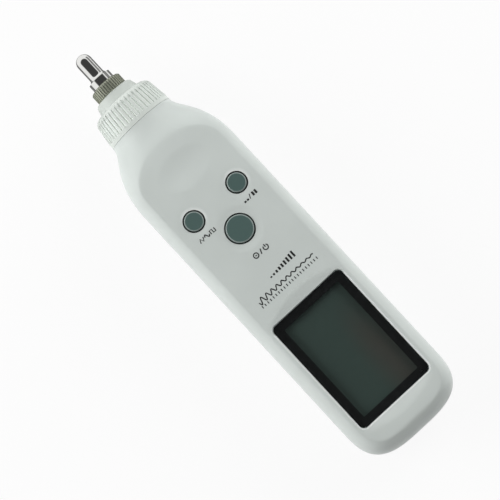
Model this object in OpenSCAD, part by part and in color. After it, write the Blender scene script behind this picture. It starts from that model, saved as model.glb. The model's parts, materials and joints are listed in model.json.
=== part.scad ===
// Handheld vibration meter, lying on its back.
// X runs across the case, Y along it with the probe's tip at +Y, and Z up out of the front face.
// The origin is on the resting plane, under the middle of the whole meter.
// A station is a distance from the probe's tip, measured along the axis towards the tail.

/* [Case] */
// Length over all, from the tip of the probe to the tail
total_len = 183; // [181:0.5:200]
// Width across the side walls
case_w = 44.3; // [43.6:0.1:48]
// Thickness, from the back to the front face
case_h = 31; // [30.6:0.1:34]
// Height above the back of the probe's axis and of the parting plane
axis_z = 15; // [14.9:0.1:16]
// Wall of the two shells
wall = 2.2; // [1.8:0.1:2.4]
// Width of the sloping edge on each side of the flat front face
face_edge = 4.15; // [3.2:0.05:5]
// Width of the sloping edge on each side of the flat back
back_edge = 4.65; // [3.6:0.05:5.4]
// Length over which the shoulders widen from the collar to the full width
shoulder_len = 26.2; // [22:0.2:30]
// Length over which the tail rounds off
tail_round = 18; // [16:0.5:20]
// Height of the tongue that keeps the shells in line
tongue_h = 1.2; // [0.8:0.1:1.6]
// Thickness of that tongue
tongue_t = 0.9; // [0.7:0.1:1]

/* [Thumb dimple] */
// Station of the dimple's middle
dimple_s = 57.4; // [56:0.2:60]
// Half of its width
dimple_a = 11.2; // [8:0.2:13]
// Half of its length
dimple_b = 7.2; // [5:0.2:8]
// Its depth
dimple_depth = 0.6; // [0.3:0.1:1]

/* [Head] */
// Largest radius of the ribbed collar, at its rim
collar_r = 13.7; // [13.4:0.1:14]
// Radius of the collar where its ribs start
collar_front_r = 12.8; // [12.4:0.1:13]
// Length of the collar
collar_len = 11.3; // [11:0.1:12.6]
// Length of the plain rim behind the ribs
collar_rim = 1.6; // [1:0.1:2.4]
// Radius of the rounding at the collar's front
collar_round = 2.8; // [2:0.1:3]
// Number of grooves between the ribs
collar_grooves = 48; // [36:2:60]
// Radius of each groove
groove_r = 0.4; // [0.3:0.05:0.6]
// Outer radius of the threaded neck
neck_r = 11.1; // [10.9:0.1:11.3]
// Bore of the neck
neck_bore_r = 9.2; // [9:0.1:9.4]
// Length of the nose cone that shows in front of the collar
nose_len = 3.8; // [2.8:0.1:4]
// Radius of the nose cone at the knurled ring
nose_r = 7.5; // [6.9:0.1:7.6]
// Radius of the nose cone where it enters the collar
nose_base_r = 8.9; // [8.6:0.1:9]

/* [Probe] */
// Radius of the probe's rod
rod_r = 3.1; // [2.5:0.1:3.2]
// Length of the rod, from its round tip to the fillet
rod_len = 9.4; // [8.6:0.1:11]
// Radius of the band behind the fillet
band_r = 4.6; // [4.3:0.1:4.8]
// Length of that band
band_len = 3.1; // [2.4:0.1:3.6]
// Chamfer on the band's rear edge
band_chamfer = 0.4; // [0.2:0.05:0.6]
// Radius of the knurled ring
ring_r = 6.4; // [6:0.1:6.8]
// Length of the knurled ring
ring_len = 4.4; // [3.6:0.1:5.4]
// Number of knurls
ring_knurls = 40; // [30:2:48]
// Depth of the grooves between the knurls
knurl_depth = 0.35; // [0.2:0.05:0.45]
// Chamfer on the ring's edges
ring_chamfer = 0.5; // [0.3:0.05:0.7]
// Radius of the probe's threaded end
thread_r = 2.5; // [2:0.1:2.8]

/* [Vibration sensor] */
// Radius of the base that the probe screws into
base_r = 8; // [7.6:0.1:8.2]
// Radius of the boss that shows through the nose cone
boss_r = 4; // [3.7:0.1:4.2]
// Radius of the piezo disc
piezo_r = 5.5; // [4:0.1:6]
// Thickness of the piezo disc
piezo_t = 1.5; // [1:0.1:2]
// Radius of the seismic mass
mass_r = 6.2; // [5:0.1:6.6]
// Length of the seismic mass
mass_len = 7; // [5:0.5:8]
// Wall of the shield can
can_t = 0.6; // [0.4:0.05:0.8]
// Radius of the preload bolt
bolt_r = 1.2; // [1:0.1:1.4]

/* [Buttons] */
// Radius of the large button
big_button_r = 5.1; // [4.5:0.1:5.6]
// Radius of the two small buttons
small_button_r = 3.55; // [3:0.05:4]
// Gap round each button
button_gap = 0.4; // [0.3:0.05:0.5]
// Distance of each small button's middle from the side of the case
small_button_side = 11.85; // [11:0.05:12.6]
// How far a button goes down
button_travel = 0.6; // [0.3:0.1:0.8]
// Height of the buttons above the face
button_proud = 0.2; // [0:0.1:0.6]
// Radius of the shallow dish round the large button
big_dish_r = 8.4; // [7.5:0.1:9]
// Radius of the shallow dish round each small button
small_dish_r = 5.6; // [5:0.1:6]
// Depth of those dishes at the middle
button_dish = 0.6; // [0.3:0.1:0.9]

/* [Display] */
// Distance of the window from each side of the case
window_side = 5.8; // [5.4:0.1:6.6]
// Length of the window
window_len = 48.4; // [44:0.1:49]
// Radius of the window's corners
window_corner = 2.2; // [1.5:0.1:3]
// Distance of the window from the tail
window_tail_gap = 13.9; // [13.5:0.1:15]
// Width of the black border down each side of the display
border_side = 3.4; // [3.1:0.05:4.2]
// Width of the black border at each end of the display
border_end = 3.35; // [3.1:0.05:4.8]
// Thickness of the window
lens_t = 1.1; // [0.8:0.1:1.3]
// Thickness of the black adhesive frame behind the window
gasket_t = 0.3; // [0.2:0.05:0.4]
// Depth of the scoops above and below the window
scoop_depth = 1; // [0.6:0.1:1.2]
// Length of those scoops
scoop_len = 4.4; // [3:0.2:5]
// Radius across those scoops
scoop_r = 150; // [100:5:200]
// Thickness of the display glass
lcd_t = 2.4; // [1.8:0.1:2.6]

/* [Battery] */
// Diameter of each cell, which is a AAA size
cell_d = 10.5; // [10.1:0.1:10.5]
// Length of each cell over its contact button
cell_len = 44.5; // [43.5:0.1:44.5]
// Thickness of the battery door
door_t = 2; // [1.6:0.1:2.2]
// Room for the contacts at each end of the cells
contact_room = 2.6; // [2.4:0.1:3]
// Wire of the contact springs
spring_wire = 0.5; // [0.4:0.05:0.6]
// Turns of each contact spring
spring_turns = 3; // [2:1:3]

/* [Board] */
// Thickness of the main board
board_t = 1.6; // [1:0.1:1.8]
// Height of the push switches under the buttons
switch_h = 3.5; // [3:0.1:3.8]
// Side of each push switch
switch_w = 6; // [5:0.1:6.4]

/* [Hidden] */

// Colours
case_white = [0.90, 0.92, 0.91];
collar_white = [0.93, 0.94, 0.93];
button_grey = [0.31, 0.39, 0.38];
chrome_grey = [0.82, 0.82, 0.80];
nickel_grey = [0.50, 0.50, 0.44];
steel_grey = [0.62, 0.63, 0.65];
brass_yellow = [0.80, 0.66, 0.32];
board_green = [0.10, 0.36, 0.20];
chip_black = [0.08, 0.08, 0.09];
rubber_black = [0.12, 0.12, 0.12];

// Clearances and small allowances
over = 1;
fit = 0.05;
slip = 0.1;
gap = 0.3;
round_fn = 96;
hole_fn = 48;
boss_fn = 24;
dish_fn = 32;

// Case stations and levels
tip_y = total_len / 2;
ring_s = rod_len + band_r - rod_r + band_len;
nose_s = ring_s + ring_len + slip;
collar_s = nose_s + nose_len;
case_s = collar_s + collar_len + slip;
body_s = case_s + shoulder_len;
tail_s = total_len - tail_round;
roof_z = case_h - wall;
face_w = case_w - 2 * face_edge;
back_w = case_w - 2 * back_edge;

// Window and display
window_w = case_w - 2 * window_side;
window_s = total_len - window_tail_gap - window_len / 2;
window_top_s = window_s - window_len / 2;
view_w = window_w - 2 * border_side;
view_len = window_len - 2 * border_end;
lens_z = case_h - scoop_depth - slip - lens_t;
ledge_z = lens_z - gasket_t;
ledge_t = 1.6;
lcd_top = ledge_z - ledge_t - slip;

// The buttons and screws share the room between the shoulders and the window
panel_len = window_top_s - body_s;
small_button_share = 0.2293;
big_button_share = 0.4421;
board_screw_share = 0.6401;
case_screw_share = 0.8513;
small_button_s = body_s + panel_len * small_button_share;
big_button_s = body_s + panel_len * big_button_share;
small_button_x = case_w / 2 - small_button_side;

// Shape of the case: a section is rounded like a circle at the neck and like a box along the body
body_power = 4;
neck_power = 2;
tail_power = 3.2;
head_steps = 10;
tail_steps = 8;
section_points = 40;
shoulder_pull_shares = [0.18, 0.33];
rise_share = 0.85;
rise_power = 1.6;

function half_height(flat_h, flat_w) =
    flat_h / pow(1 - pow(flat_w / case_w, body_power), 1 / body_power);
body_top = half_height(case_h - axis_z, face_w);
body_bottom = half_height(axis_z, back_w);

function bezier(t, a, b) = 3 * (1 - t) * (1 - t) * t * a + 3 * (1 - t) * t * t * b + t * t * t;
function blend(a, b, f) = a + (b - a) * f;
function rise(u) = sin(90 * pow(min(1, u / rise_share), rise_power));

// Each station of the case: where it is, half its width, its height and depth from the axis, its power
function head_station(t, inset) =
    let (
        u = bezier(t, shoulder_pull_shares[0], shoulder_pull_shares[1]),
        w = bezier(t, 0, 1),
        h = rise(u)
    )
    [
        tip_y - case_s - shoulder_len * u - inset * (1 - t),
        blend(collar_r, case_w / 2, w) - inset,
        blend(collar_r, body_top, h) - inset,
        blend(collar_r, body_bottom, h) - inset,
        blend(neck_power, body_power, h)
    ];
function tail_station(a, inset) =
    let (k = pow(cos(a), 2 / tail_power), u = pow(sin(a), 2 / tail_power))
    [
        tip_y - tail_s - (tail_round - inset) * u,
        (case_w / 2 - inset) * k,
        (body_top - inset) * k,
        (body_bottom - inset) * k,
        body_power
    ];
function case_stations(inset) = concat(
    [for (i = [0 : head_steps]) head_station(i / head_steps, inset)],
    [for (i = [0 : tail_steps]) tail_station(90 * i / tail_steps, inset)]
);
function signed_power(v, p) = sign(v) * pow(abs(v), p);
function section(st) = [
    for (i = [0 : section_points - 1])
        let (a = 360 * i / section_points, e = 2 / st[4])
        [
            st[1] * signed_power(cos(a), e),
            st[0],
            axis_z + (sin(a) > 0 ? st[2] : st[3]) * signed_power(sin(a), e)
        ]
];
ring_order = [for (i = [0 : section_points - 1]) i];
next_order = [for (i = [0 : section_points - 1]) section_points + i];

// The case's outer form, or its hollow when it is set in by the wall, as a row of bands
module case_form(inset = 0) {
    st = case_stations(inset);
    for (i = [0 : len(st) - 2])
        hull() polyhedron(concat(section(st[i]), section(st[i + 1])), [ring_order, next_order]);
}

// A block between two stations and two heights, centred on the middle plane
module slab(w, s1, s2, z1, z2) {
    translate([-w / 2, tip_y - s2, z1]) cube([w, s2 - s1, z2 - z1]);
}

// A plate with round corners between two heights, centred on a station
module rounded_plate(w, len, corner, s, z1, z2) {
    translate([0, tip_y - s, z1]) linear_extrude(z2 - z1) union() {
        square([w - 2 * corner, len], center = true);
        square([w, len - 2 * corner], center = true);
        for (x = [-1, 1], y = [-1, 1])
            translate([x * (w / 2 - corner), y * (len / 2 - corner)]) circle(corner, $fn = boss_fn);
    }
}

// An upright round post or hole between two heights
module post(x, s, r, z1, z2, fn = boss_fn) {
    translate([x, tip_y - s, z1]) cylinder(r = r, h = z2 - z1, $fn = fn);
}

// A body turned about the probe's axis; its outline has the radius across and minus the station up
module turned() {
    translate([0, tip_y, axis_z]) rotate([-90, 0, 0]) rotate_extrude($fn = round_fn) children();
}

// One stretch of such an outline, between two radii and two stations
module stretch(r1, r2, s1, s2) {
    translate([r1, -s2]) square([r2 - r1, s2 - s1]);
}

// A shallow dish, oval in plan, cut from above
dish_rings = 4;
module dish(a, b, depth, s, x = 0) {
    big_r = (a * a + depth * depth) / (2 * depth);
    half_angle = asin(a / big_r);
    translate([x, tip_y - s, case_h]) scale([1, b / a, 1]) rotate_extrude($fn = dish_fn)
        polygon(concat(
            [[0, over], [a, over]],
            [for (i = [dish_rings : -1 : 0])
                let (g = half_angle * i / dish_rings)
                [big_r * sin(g), big_r - depth - big_r * cos(g)]]
        ));
}

// Screws and their bosses
screw_side = 7.75;
screw_x = case_w / 2 - screw_side;
screw_ahead = 9.9;
case_screw_s_front = small_button_s - screw_ahead;
case_screw_s_rear = body_s + panel_len * case_screw_share;
case_screw_r = 1.1;
case_screw_head_r = 2.1;
case_screw_head_h = 1.6;
case_screw_len = 12;
seat_z = 8;
front_boss_r = 2.7;
rear_boss_r = 3.3;
case_screw_places = [
    for (x = [-1, 1], s = [case_screw_s_front, case_screw_s_rear]) [x * screw_x, s]
];
board_screw_s = body_s + panel_len * board_screw_share;
board_screw_r = 0.9;
board_screw_head_r = 1.7;
board_screw_head_h = 1.2;
board_screw_len = 5.5;
standoff_r = 2.3;

// Battery bay and door
cell_r = cell_d / 2;
cell_x = cell_r + gap / 2;
cell_z = door_t + gap + cell_r;
bay_w = 2 * cell_d + 3 * gap;
bay_len = cell_len + 2 * contact_room;
bay_s1 = window_s - bay_len / 2;
bay_s2 = window_s + bay_len / 2;
bay_wall = 1.3;
plate_t = 0.4;
plate_w = 8;
bay_roof = cell_z + cell_r + gap;
bay_top = bay_roof + bay_wall;
rail_w = 1;
rail_t = 1;
rail_block = 1.5;
door_w = bay_w + 2 * bay_wall + 2 * gap;
door_s1 = bay_s1 - 2 * bay_wall;
door_end_gap = 3.4;
door_end_s = total_len - door_end_gap;
door_bevel = 2;
door_end_r = 30;

// The board stands between the battery bay and the display
board_rise_share = 0.41;
board_z = bay_top + (lcd_top - lcd_t - board_t - bay_top) * board_rise_share;
board_top = board_z + board_t;

// Board outline
board_side_gap = 1.8;
board_w = case_w - 2 * wall - 2 * board_side_gap;
board_head_margin = 5;
board_s1 = case_screw_s_front - board_head_margin;
board_tail_gap = 7;
board_s2 = total_len - board_tail_gap;
board_corner = 4;

module front_shell() {
    frame_margin = 3.4;
    color(case_white) difference() {
        union() {
            difference() {
                intersection() {
                    case_form();
                    slab(case_w + over, case_s - over, total_len + over, axis_z, case_h);
                }
                intersection() {
                    case_form(wall);
                    slab(case_w + over, case_s - over, total_len + over, axis_z - over, roof_z);
                }
                intersection() {
                    case_form(tongue_t + slip);
                    slab(case_w + over, case_s + 2 * wall, total_len + over, axis_z - over, axis_z + tongue_h + slip);
                }
            }
            neck(axis_z, case_h);
            rounded_plate(window_w + frame_margin, window_len + frame_margin, window_corner,
                window_s, ledge_z - ledge_t, roof_z + fit);
            for (p = case_screw_places) post(p[0], p[1], front_boss_r, axis_z, roof_z + fit);
            for (x = [-1, 1]) post(x * screw_x, board_screw_s, standoff_r, board_top, roof_z + fit);
        }
        neck_bore();
        rounded_plate(window_w + 2 * slip, window_len + 2 * slip, window_corner,
            window_s, ledge_z, case_h + over);
        rounded_plate(view_w + 4 * gap, view_len + 4 * gap, window_corner / 2,
            window_s, ledge_z - ledge_t - over, case_h + over);
        scoops();
        dish(dimple_a, dimple_b, dimple_depth, dimple_s);
        dish(big_dish_r, big_dish_r, button_dish, big_button_s);
        post(0, big_button_s, big_button_r + button_gap, axis_z, case_h + over, hole_fn);
        for (x = [-1, 1]) {
            dish(small_dish_r, small_dish_r, button_dish / 2, small_button_s, x * small_button_x);
            post(x * small_button_x, small_button_s, small_button_r + button_gap,
                axis_z, case_h + over, hole_fn);
        }
        for (p = case_screw_places) post(p[0], p[1], case_screw_r + fit, axis_z - over, seat_z + case_screw_len + gap);
        for (x = [-1, 1]) post(x * screw_x, board_screw_s, board_screw_r + fit,
            board_top - over, board_z + board_screw_len + gap);
    }
}

// Sloping cuts that lead down to the window from above and from below it
module scoops() {
    slope = atan(scoop_depth / scoop_len);
    scoop_fn = 240;
    for (side = [-1, 1])
        intersection() {
            translate([0, tip_y - window_s + side * (window_len / 2 + scoop_len), case_h])
                rotate([side * slope, 0, 0])
                translate([0, 0, scoop_r])
                rotate([90, 0, 0])
                cylinder(r = scoop_r, h = 4 * scoop_len, center = true, $fn = scoop_fn);
            translate([-case_w / 2, tip_y - window_s + (side > 0 ? window_len / 2 : -window_len / 2 - scoop_len - over),
                case_h - 2 * scoop_depth])
                cube([case_w, scoop_len + over, 2 * scoop_depth + over]);
        }
}

// The threaded neck that the collar turns on, between two heights
module neck(z1, z2) {
    intersection() {
        turned() stretch(0, neck_r, nose_flange_s2, case_s + 2 * wall);
        slab(case_w, nose_flange_s2 - over, case_s + 2 * wall + over, z1, z2);
    }
}

// The bore that takes the sensor
module neck_bore() {
    turned() stretch(0, neck_bore_r, nose_flange_s2 - over, case_s + 2 * wall + over);
}

module rear_shell() {
    board_post_r = 1.4;
    color(case_white) difference() {
        union() {
            difference() {
                intersection() {
                    case_form();
                    slab(case_w + over, case_s - over, total_len + over, 0, axis_z);
                }
                intersection() {
                    case_form(wall);
                    slab(case_w + over, case_s - over, total_len + over, wall, axis_z + over);
                }
            }
            intersection() {
                difference() {
                    case_form(tongue_t + 2 * slip);
                    case_form(wall);
                }
                slab(case_w, case_s + 2 * wall + slip, total_len, axis_z - over, axis_z + tongue_h);
            }
            neck(0, axis_z);
            intersection() {
                union() {
                    slab(bay_w + 2 * bay_wall, bay_s1 - bay_wall, bay_s2 + bay_wall, 0, bay_top);
                    slab(door_w + 2 * (rail_w + bay_wall), door_s1 - bay_wall, total_len,
                        0, door_t + slip + rail_block);
                    for (p = case_screw_places) post(p[0], p[1], rear_boss_r, 0, axis_z);
                }
                case_form(wall / 2);
            }
            for (x = [-1, 1], s = [bay_s1 + bay_wall, bay_s2 - bay_wall])
                post(x * (bay_w / 2 - bay_wall), s, board_post_r, bay_roof, board_z);
        }
        neck_bore();
        slab(bay_w, bay_s1, bay_s2, -over, bay_roof);
        slab(door_w + 2 * slip, door_s1 - slip, total_len + over, -over, door_t + fit);
        slab(door_w + 2 * (rail_w + slip), door_s1 - slip, total_len + over, rail_t - slip, door_t + fit);
        for (p = case_screw_places) {
            post(p[0], p[1], case_screw_head_r + gap, -over, seat_z);
            post(p[0], p[1], case_screw_r + fit, seat_z - over, axis_z + over);
        }
    }
}

module battery_door() {
    grip_w = 12;
    grip_pitch = 2.2;
    grip_r = 0.5;
    grips = 5;
    color(case_white) difference() {
        intersection() {
            translate([0, tip_y, 0]) rotate([90, 0, 0]) linear_extrude(total_len) union() {
                translate([-door_w / 2, 0]) square([door_w, door_t]);
                translate([-door_w / 2 - rail_w, rail_t]) square([door_w + 2 * rail_w, door_t - rail_t]);
            }
            rotate([90, 0, 90]) linear_extrude(case_w, center = true) polygon([
                [tip_y - door_s1, 0],
                [tip_y - door_s1, door_t],
                [tip_y - door_end_s, door_t],
                [tip_y - door_end_s, door_t * 3 / 4],
                [tip_y - door_end_s + door_bevel, 0]
            ]);
            linear_extrude(door_t) union() {
                translate([-case_w / 2, tip_y - door_end_s + door_end_r / 2]) square([case_w, total_len]);
                translate([0, tip_y - door_end_s + door_end_r]) circle(door_end_r, $fn = round_fn);
            }
        }
        for (i = [0 : grips - 1])
            translate([-grip_w / 2, tip_y - bay_s2 + i * grip_pitch, 0]) rotate([0, 90, 0])
                cylinder(r = grip_r, h = grip_w, $fn = hole_fn);
    }
}

module display_window() {
    color([0.10, 0.12, 0.12, 0.5])
        rounded_plate(window_w, window_len, window_corner - slip, window_s, lens_z, lens_z + lens_t);
}

module window_gasket() {
    color(rubber_black) difference() {
        rounded_plate(window_w - slip, window_len - slip, window_corner - slip, window_s, ledge_z, lens_z);
        rounded_plate(view_w, view_len, window_corner / 4, window_s, ledge_z - over, lens_z + over);
    }
}

// Display parts
lcd_margin = 2.5;
lcd_w = view_w + 2 * lcd_margin;
lcd_len = view_len + 2 * lcd_margin;
holder_wall = 1.3;
holder_lip = 2;

module lcd_panel() {
    contact_ledge = 2.6;
    color([0.20, 0.24, 0.22]) union() {
        slab(lcd_w, window_s - lcd_len / 2, window_s + lcd_len / 2, lcd_top - lcd_t / 2, lcd_top);
        slab(lcd_w, window_s - lcd_len / 2 + contact_ledge, window_s + lcd_len / 2,
            lcd_top - lcd_t, lcd_top - lcd_t / 2);
    }
}

module lcd_holder() {
    outer_w = lcd_w + 2 * (holder_wall + slip);
    outer_len = lcd_len + 2 * (holder_wall + slip);
    color([0.85, 0.86, 0.84]) difference() {
        slab(outer_w, window_s - outer_len / 2, window_s + outer_len / 2, board_top, lcd_top);
        slab(lcd_w + 2 * slip, window_s - lcd_len / 2 - slip, window_s + lcd_len / 2 + slip,
            lcd_top - lcd_t, lcd_top + over);
        slab(lcd_w - 2 * holder_lip, window_s - lcd_len / 2 + fit, window_s + lcd_len / 2 - holder_lip,
            board_top - over, lcd_top);
    }
}

module zebra_strips() {
    strip_t = 2;
    color([0.75, 0.45, 0.60])
        slab(lcd_w - 2 * holder_lip - gap, window_s - lcd_len / 2 + slip, window_s - lcd_len / 2 + slip + strip_t,
            board_top, lcd_top - lcd_t / 2);
}

module main_board() {
    color(board_green) difference() {
        rounded_plate(board_w, board_s2 - board_s1, board_corner, (board_s1 + board_s2) / 2, board_z, board_top);
        for (p = case_screw_places) post(p[0], p[1], front_boss_r + gap, board_z - over, board_top + over);
        for (x = [-1, 1]) post(x * screw_x, board_screw_s, board_screw_r + slip, board_z - over, board_top + over);
    }
}

module controller_chip() {
    chip_w = 12;
    chip_t = 1.6;
    color(chip_black)
        slab(chip_w, window_s - chip_w / 2, window_s + chip_w / 2, board_top, board_top + chip_t);
}

module amplifier_chip() {
    chip_w = 6;
    chip_len = 8;
    chip_t = 1.5;
    boss_room = 0.7;
    chip_x = screw_x - front_boss_r - boss_room - chip_w / 2;
    color(chip_black) translate([-chip_x, 0, 0])
        slab(chip_w, small_button_s - chip_len * 2, small_button_s - chip_len, board_z - chip_t, board_z);
}

module capacitors() {
    can_r = 2;
    can_h = 2.5;
    color(steel_grey) for (i = [-1, 0, 1])
        post(i * 3 * can_r, board_screw_s + 3 * can_r, can_r, board_z - can_h, board_z);
}

// Lead from the sensor to the board
socket_h = 4;
socket_len = 5;
lead_r = 0.8;
lead_z = board_top + socket_h / 2;
socket_step = 1;
socket_s = board_s1 + socket_step;

module sensor_socket() {
    color([0.92, 0.90, 0.84]) slab(1.4 * socket_len, socket_s, socket_s + socket_len, board_top, board_top + socket_h);
}

// A tube of a few sides along a row of points in the middle plane, each point [y, z]
module plane_tube(points, r, sides) {
    n = len(points);
    slopes = [for (i = [0 : n - 1])
        let (a = points[max(0, i - 1)], b = points[min(n - 1, i + 1)]) atan2(b[1] - a[1], b[0] - a[0])];
    rings = [for (i = [0 : n - 1], k = [0 : sides - 1])
        let (c = 360 * k / sides, g = slopes[i])
        [r * cos(c), points[i][0] - r * sin(c) * sin(g), points[i][1] + r * sin(c) * cos(g)]];
    walls = [for (i = [0 : n - 2], k = [0 : sides - 1], half = [0, 1])
        let (a = i * sides + k, b = i * sides + (k + 1) % sides)
        half == 0 ? [a, b, a + sides] : [b, b + sides, a + sides]];
    start = [[for (k = [sides - 1 : -1 : 0]) k]];
    end = [[for (k = [0 : sides - 1]) (n - 1) * sides + k]];
    polyhedron(rings, concat(walls, start, end));
}

module sensor_lead() {
    steps = 14;
    s1 = can_s2;
    s2 = socket_s;
    color([0.20, 0.20, 0.22]) plane_tube([
        for (i = [0 : steps])
            let (t = i / steps)
            [tip_y - blend(s1, s2, t), blend(axis_z, lead_z, (1 - cos(180 * t)) / 2)]
    ], lead_r, 8);
}

// Push buttons
button_top = case_h + button_proud;
button_flange = 0.8;
stem_r = 1.7;
stem_room = 0.2;

module push_button(r, x, s) {
    edge = 0.3;
    flange_top = roof_z - gap;
    stem_z = board_top + switch_h - button_travel - 2 * stem_room;
    translate([x, tip_y - s, 0]) rotate_extrude($fn = round_fn) union() {
        difference() {
            translate([0, flange_top - button_flange]) square([r, button_top - flange_top + button_flange]);
            translate([r, button_top]) rotate(45) square(edge * sqrt(2), center = true);
        }
        translate([0, flange_top - button_flange]) square([r + button_flange, button_flange]);
        translate([0, stem_z]) square([stem_r, flange_top - stem_z]);
    }
}

module measure_button() {
    color(button_grey) push_button(big_button_r, 0, big_button_s);
}

module mode_button() {
    color(button_grey) push_button(small_button_r, -small_button_x, small_button_s);
}

module range_button() {
    color(button_grey) push_button(small_button_r, small_button_x, small_button_s);
}

module push_switch(x, s) {
    well = button_travel * 2 + 3 * stem_room;
    difference() {
        translate([x, 0, 0]) slab(switch_w, s - switch_w / 2, s + switch_w / 2, board_top, board_top + switch_h);
        post(x, s, stem_r + fit, board_top + switch_h - well, board_top + switch_h + over);
    }
}

module measure_switch() {
    color(chip_black) push_switch(0, big_button_s);
}

module mode_switch() {
    color(chip_black) push_switch(-small_button_x, small_button_s);
}

module range_switch() {
    color(chip_black) push_switch(small_button_x, small_button_s);
}

// Stations inside the head
thread_len = 7;
nose_flange_t = 1.7;
nose_flange_r = neck_r - gap;
washer_t = 0.6;
lip_t = 1.2;
washer_s = collar_s + lip_t;
nose_flange_s1 = washer_s + washer_t;
nose_flange_s2 = nose_flange_s1 + nose_flange_t;
base_t = 3.2;
base_s1 = nose_flange_s2 + slip;
base_s2 = base_s1 + base_t;
disc_t = 0.3;
disc_s1 = base_s2 + piezo_t;
mass_s1 = disc_s1 + disc_t;
mass_s2 = mass_s1 + mass_len;
can_room = 2.5;
can_s2 = mass_s2 + can_room;
bolt_head_r = 2.6;
bolt_head_h = 1.8;
bolt_grip = 1.6;
bolt_recess = 2.2;
bolt_s1 = base_s2 - bolt_grip;
bolt_s2 = mass_s2 - bolt_recess;

module probe_rod() {
    fillet = band_r - rod_r;
    color(chrome_grey) turned() union() {
        intersection() {
            translate([0, -rod_r]) circle(rod_r, $fn = round_fn);
            stretch(0, rod_r, 0, rod_r);
        }
        stretch(0, rod_r, rod_r, rod_len);
        difference() {
            stretch(0, band_r, rod_len, ring_s);
            translate([band_r, -rod_len]) circle(fillet, $fn = round_fn);
            translate([band_r, -ring_s]) rotate(45) square(band_chamfer * sqrt(2), center = true);
        }
        stretch(0, rod_r, ring_s, nose_s - slip);
        stretch(0, thread_r - fit, nose_s - slip, nose_s + thread_len);
    }
}

module knurled_ring() {
    color(nickel_grey) difference() {
        turned() polygon([
            [rod_r + fit, -ring_s],
            [ring_r - ring_chamfer, -ring_s],
            [ring_r, -ring_s - ring_chamfer],
            [ring_r, -ring_s - ring_len + ring_chamfer],
            [ring_r - ring_chamfer, -ring_s - ring_len],
            [rod_r + fit, -ring_s - ring_len]
        ]);
        translate([0, tip_y - ring_s + over, axis_z]) rotate([90, 0, 0])
            for (i = [0 : ring_knurls - 1])
                rotate([0, 0, 360 * i / ring_knurls])
                translate([ring_r, 0, 0]) cylinder(r = knurl_depth, h = ring_len + 2 * over, $fn = boss_fn);
    }
}

module nose_cone() {
    lip = 0.5;
    shell = 1.6;
    color(collar_white) turned() difference() {
        polygon([
            [0, -nose_s],
            [nose_r, -nose_s],
            [nose_r, -nose_s - lip],
            [nose_r + lip, -nose_s - lip],
            [nose_base_r, -collar_s],
            [nose_base_r, -nose_flange_s1],
            [nose_flange_r, -nose_flange_s1],
            [nose_flange_r, -nose_flange_s2],
            [0, -nose_flange_s2]
        ]);
        stretch(0, boss_r + slip, nose_s - over, nose_flange_s2);
        stretch(0, nose_base_r - shell, nose_s + shell, nose_flange_s2 + over);
    }
}

module ribbed_collar() {
    rear_s = case_s - slip;
    ribs_s = collar_s + collar_round;
    flare = atan((collar_r - collar_front_r) / (rear_s - collar_rim - ribs_s));
    rib_len = (rear_s - collar_rim - collar_s) / cos(flare);
    color(collar_white) difference() {
        union() {
            turned() polygon([
                [neck_r + slip, -ribs_s],
                [collar_front_r, -ribs_s],
                [collar_r, -(rear_s - collar_rim)],
                [collar_r, -rear_s],
                [neck_r + slip, -rear_s]
            ]);
            turned() difference() {
                union() {
                    stretch(nose_base_r + gap, collar_front_r - collar_round, collar_s, ribs_s + fit);
                    intersection() {
                        translate([collar_front_r - collar_round, -ribs_s]) circle(collar_round, $fn = round_fn);
                        stretch(nose_base_r + gap, collar_front_r, collar_s, ribs_s + fit);
                    }
                }
                stretch(0, neck_r + slip, washer_s, ribs_s + over);
            }
        }
        translate([0, tip_y - rear_s + collar_rim, axis_z]) rotate([-90, 0, 0])
            for (i = [0 : collar_grooves - 1])
                rotate([0, 0, 360 * i / collar_grooves])
                translate([collar_r, 0, 0])
                rotate([0, -flare, 0])
                cylinder(r = groove_r, h = rib_len, $fn = hole_fn);
    }
}

module collar_washer() {
    color([0.95, 0.95, 0.90]) turned()
        stretch(nose_base_r + gap, neck_r - gap, washer_s, nose_flange_s1);
}

module sensor_base() {
    color(steel_grey) turned() difference() {
        union() {
            stretch(0, boss_r, nose_s + slip, base_s1);
            stretch(0, base_r, base_s1, base_s2);
        }
        stretch(0, thread_r, nose_s - over, nose_s + thread_len + gap);
        stretch(0, bolt_r + fit, bolt_s1 - fit, base_s2 + over);
    }
}

module piezo_disc() {
    color([0.86, 0.80, 0.62]) turned() stretch(bolt_r + gap, piezo_r, base_s2, disc_s1);
}

module contact_disc() {
    color(brass_yellow) turned() stretch(bolt_r + gap, piezo_r + gap, disc_s1, mass_s1);
}

module seismic_mass() {
    color(brass_yellow) turned() difference() {
        stretch(bolt_r + gap, mass_r, mass_s1, mass_s2);
        stretch(0, bolt_head_r + gap, bolt_s2, mass_s2 + over);
    }
}

module preload_bolt() {
    color(steel_grey) turned() union() {
        stretch(0, bolt_r, bolt_s1, bolt_s2);
        stretch(0, bolt_head_r, bolt_s2, bolt_s2 + bolt_head_h);
    }
}

module sensor_can() {
    color(steel_grey) turned() difference() {
        stretch(0, base_r, base_s2, can_s2);
        stretch(0, base_r - can_t, base_s2 - over, can_s2 - can_t);
    }
}

module isolator_rings() {
    ring_w = 2.4;
    color(rubber_black) turned() union() {
        stretch(base_r + fit, neck_bore_r - fit, base_s1, base_s1 + ring_w);
        stretch(base_r + fit, neck_bore_r - fit, case_s - ring_w, case_s);
    }
}

// A cell between two stations, with its contact button towards the tip or towards the tail
module cell(x, s1, to_tip) {
    nub_r = 1.9;
    nub_h = 0.8;
    body1 = to_tip ? s1 + nub_h : s1;
    nub1 = to_tip ? s1 : s1 + cell_len - nub_h;
    translate([x, tip_y, cell_z]) rotate([-90, 0, 0]) {
        translate([0, 0, -body1 - cell_len + nub_h]) cylinder(r = cell_r, h = cell_len - nub_h, $fn = round_fn);
        translate([0, 0, -nub1 - nub_h]) cylinder(r = nub_r, h = nub_h, $fn = round_fn);
    }
}

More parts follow.
